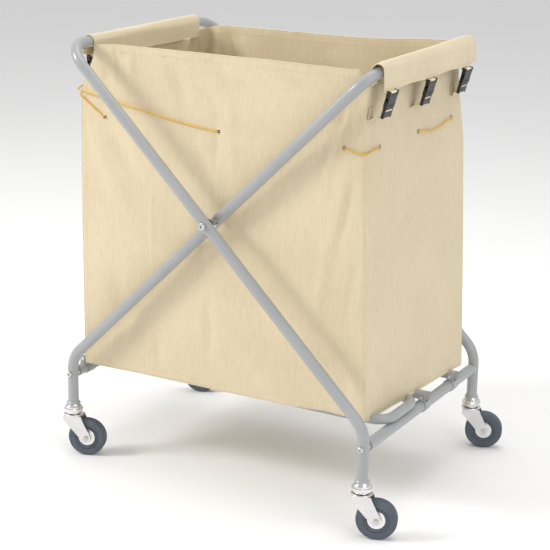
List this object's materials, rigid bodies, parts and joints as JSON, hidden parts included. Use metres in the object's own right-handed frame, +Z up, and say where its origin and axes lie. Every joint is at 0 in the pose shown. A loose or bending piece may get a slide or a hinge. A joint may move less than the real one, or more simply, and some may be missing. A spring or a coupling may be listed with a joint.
{
  "type": "folding linen trolley",
  "caption": "Folding laundry cart: an X frame of bent steel tube on swivel castors carries an open-topped canvas bag with side flaps, buckles and a drawcord.",
  "frame": {"origin": "on the floor straight under the middle of the line through the two pivot bolts where the frames cross", "axes": "+X towards the legs of the outer frame, -Y is the front, +Z is up"},
  "size_m": [0.8932, 0.6619, 1.0008],
  "materials": {
    "frame_paint": "smooth silver-grey powder coat",
    "bolt_steel": "bright zinc plate",
    "hoop_steel": "smooth silver-grey powder coat",
    "clip_plastic": "smooth silver-grey powder coat",
    "cap_plastic": "grey moulded cap",
    "castor_chrome": "bright plate",
    "castor_zinc": "bright zinc plate",
    "hub_metal": "smooth light grey moulding",
    "tyre_rubber": "matt grey-blue",
    "canvas": "heavy cream cotton canvas",
    "eyelet_brass": "bright brass",
    "cord_yellow": "twisted yellow cord",
    "webbing": "cream woven webbing",
    "buckle_plastic": "near-black moulded plastic"
  },
  "bodies": {
    "base_bar": {"crossbar_right": "frame_paint", "crossbar_bolts_right": "bolt_steel"},
    "frame_outer": {"frame_outer_tube": "frame_paint", "leg_saddles_right": "bolt_steel", "castor_front_right_cup": "castor_chrome", "castor_rear_right_cup": "castor_chrome"},
    "pivot": {"pivot_bolts": "bolt_steel", "pivot_spacers": "bolt_steel", "pivot_nuts": "bolt_steel"},
    "frame_inner": {"frame_inner_tube": "frame_paint", "crossbar_left": "frame_paint", "crossbar_bolts_left": "bolt_steel", "leg_saddles_left": "bolt_steel", "castor_front_left_cup": "castor_chrome", "castor_rear_left_cup": "castor_chrome"},
    "hoop_left": {"hoop_left_tube": "hoop_steel", "hoop_left_clips": "clip_plastic", "hoop_left_bolts": "bolt_steel", "hoop_left_caps": "cap_plastic"},
    "hoop_right": {"hoop_right_tube": "hoop_steel", "hoop_right_clips": "clip_plastic", "hoop_right_bolts": "bolt_steel", "hoop_right_caps": "cap_plastic"},
    "bag": {"bag_back_panel": "canvas", "bag_floor": "canvas", "bag_front_panel": "canvas", "bag_side_left": "canvas", "bag_side_right": "canvas", "buckle_sockets_left": "buckle_plastic", "buckle_sockets_right": "buckle_plastic", "buckle_straps_left": "webbing", "buckle_straps_right": "webbing", "drawcord": "cord_yellow", "drawcord_knot": "cord_yellow", "eyelets": "eyelet_brass", "flap_left": "canvas", "flap_right": "canvas"},
    "fork_front_left": {"castor_front_left_fork": "castor_zinc", "castor_front_left_axle": "bolt_steel"},
    "wheel_front_left": {"castor_front_left_hub": "hub_metal", "castor_front_left_tyre": "tyre_rubber"},
    "fork_rear_left": {"castor_rear_left_fork": "castor_zinc", "castor_rear_left_axle": "bolt_steel"},
    "wheel_rear_left": {"castor_rear_left_hub": "hub_metal", "castor_rear_left_tyre": "tyre_rubber"},
    "fork_front_right": {"castor_front_right_fork": "castor_zinc", "castor_front_right_axle": "bolt_steel"},
    "wheel_front_right": {"castor_front_right_hub": "hub_metal", "castor_front_right_tyre": "tyre_rubber"},
    "fork_rear_right": {"castor_rear_right_fork": "castor_zinc", "castor_rear_right_axle": "bolt_steel"},
    "wheel_rear_right": {"castor_rear_right_hub": "hub_metal", "castor_rear_right_tyre": "tyre_rubber"},
    "tongue_left_front": {"buckle_tongue_left_front": "buckle_plastic"},
    "tongue_left_middle": {"buckle_tongue_left_middle": "buckle_plastic"},
    "tongue_left_rear": {"buckle_tongue_left_rear": "buckle_plastic"},
    "tongue_right_front": {"buckle_tongue_right_front": "buckle_plastic"},
    "tongue_right_middle": {"buckle_tongue_right_middle": "buckle_plastic"},
    "tongue_right_rear": {"buckle_tongue_right_rear": "buckle_plastic"}
  },
  "joints": [
    {"name": "fold", "type": "hinge", "parent": "base_bar", "child": "frame_outer", "pos_m": [0.395, 0, 0.203], "axis": [0, 1, 0], "range_deg": [0, 27], "deforming": ["bag_back_panel", "bag_floor", "bag_front_panel", "bag_side_left", "bag_side_right", "buckle_sockets_left", "buckle_sockets_right", "buckle_straps_left", "buckle_straps_right", "drawcord", "drawcord_knot", "eyelets", "flap_left", "flap_right"]},
    {"name": "frame_cross", "type": "hinge", "parent": "frame_outer", "child": "pivot", "pos_m": [0, 0, 0.63], "axis": [0, -1, 0], "range_deg": [0, 27]},
    {"name": "inner_fold", "type": "hinge", "parent": "pivot", "child": "frame_inner", "pos_m": [0, 0, 0.63], "axis": [0, -1, 0], "range_deg": [0, 27]},
    {"name": "bag_rise", "type": "slide", "parent": "pivot", "child": "bag", "axis": [0, 0, 1], "range_m": [0, 0.126]},
    {"name": "hoop_left_swing", "type": "hinge", "parent": "frame_inner", "child": "hoop_left", "pos_m": [-0.395, 0, 0.203], "axis": [0, -1, 0], "range_deg": [0, 53]},
    {"name": "hoop_right_swing", "type": "hinge", "parent": "base_bar", "child": "hoop_right", "pos_m": [0.395, 0, 0.203], "axis": [0, 1, 0], "range_deg": [0, 80]},
    {"name": "swivel_front_left", "type": "hinge", "parent": "frame_inner", "child": "fork_front_left", "pos_m": [-0.395, -0.255, 0.1], "axis": [0, 0, 1], "continuous": true},
    {"name": "roll_front_left", "type": "hinge", "parent": "fork_front_left", "child": "wheel_front_left", "pos_m": [-0.36305, -0.24337, 0.045], "axis": [-0.342, 0.9397, 0], "continuous": true},
    {"name": "swivel_rear_left", "type": "hinge", "parent": "frame_inner", "child": "fork_rear_left", "pos_m": [-0.395, 0.255, 0.1], "axis": [0, 0, 1], "continuous": true},
    {"name": "roll_rear_left", "type": "hinge", "parent": "fork_rear_left", "child": "wheel_rear_left", "pos_m": [-0.36305, 0.26663, 0.045], "axis": [-0.342, 0.9397, 0], "continuous": true},
    {"name": "swivel_front_right", "type": "hinge", "parent": "frame_outer", "child": "fork_front_right", "pos_m": [0.395, -0.3, 0.1], "axis": [0, 0, 1], "continuous": true},
    {"name": "roll_front_right", "type": "hinge", "parent": "fork_front_right", "child": "wheel_front_right", "pos_m": [0.42695, -0.28837, 0.045], "axis": [-0.342, 0.9397, 0], "continuous": true},
    {"name": "swivel_rear_right", "type": "hinge", "parent": "frame_outer", "child": "fork_rear_right", "pos_m": [0.395, 0.3, 0.1], "axis": [0, 0, 1], "continuous": true},
    {"name": "roll_rear_right", "type": "hinge", "parent": "fork_rear_right", "child": "wheel_rear_right", "pos_m": [0.42695, 0.31163, 0.045], "axis": [-0.342, 0.9397, 0], "continuous": true},
    {"name": "release_left_front", "type": "slide", "parent": "bag", "child": "tongue_left_front", "axis": [0, 0, -1], "range_m": [0, 0.024], "deforming": ["buckle_straps_left"]},
    {"name": "release_left_middle", "type": "slide", "parent": "bag", "child": "tongue_left_middle", "axis": [0, 0, -1], "range_m": [0, 0.024], "deforming": ["buckle_straps_left"]},
    {"name": "release_left_rear", "type": "slide", "parent": "bag", "child": "tongue_left_rear", "axis": [0, 0, -1], "range_m": [0, 0.024], "deforming": ["buckle_straps_left"]},
    {"name": "release_right_front", "type": "slide", "parent": "bag", "child": "tongue_right_front", "axis": [-0.2588, 0, -0.9659], "range_m": [0, 0.024], "deforming": ["buckle_straps_right"]},
    {"name": "release_right_middle", "type": "slide", "parent": "bag", "child": "tongue_right_middle", "axis": [-0.2588, 0, -0.9659], "range_m": [0, 0.024], "deforming": ["buckle_straps_right"]},
    {"name": "release_right_rear", "type": "slide", "parent": "bag", "child": "tongue_right_rear", "axis": [-0.2588, 0, -0.9659], "range_m": [0, 0.024], "deforming": ["buckle_straps_right"]}
  ],
  "couplings": [
    {"joint": "frame_cross", "follows": "fold", "ratio": 1},
    {"joint": "inner_fold", "follows": "fold", "ratio": 1},
    {"joint": "bag_rise", "follows": "fold", "m_per_rad": 0.2664},
    {"joint": "hoop_left_swing", "follows": "fold", "ratio": 1.96},
    {"joint": "hoop_right_swing", "follows": "fold", "ratio": 2.96}
  ]
}
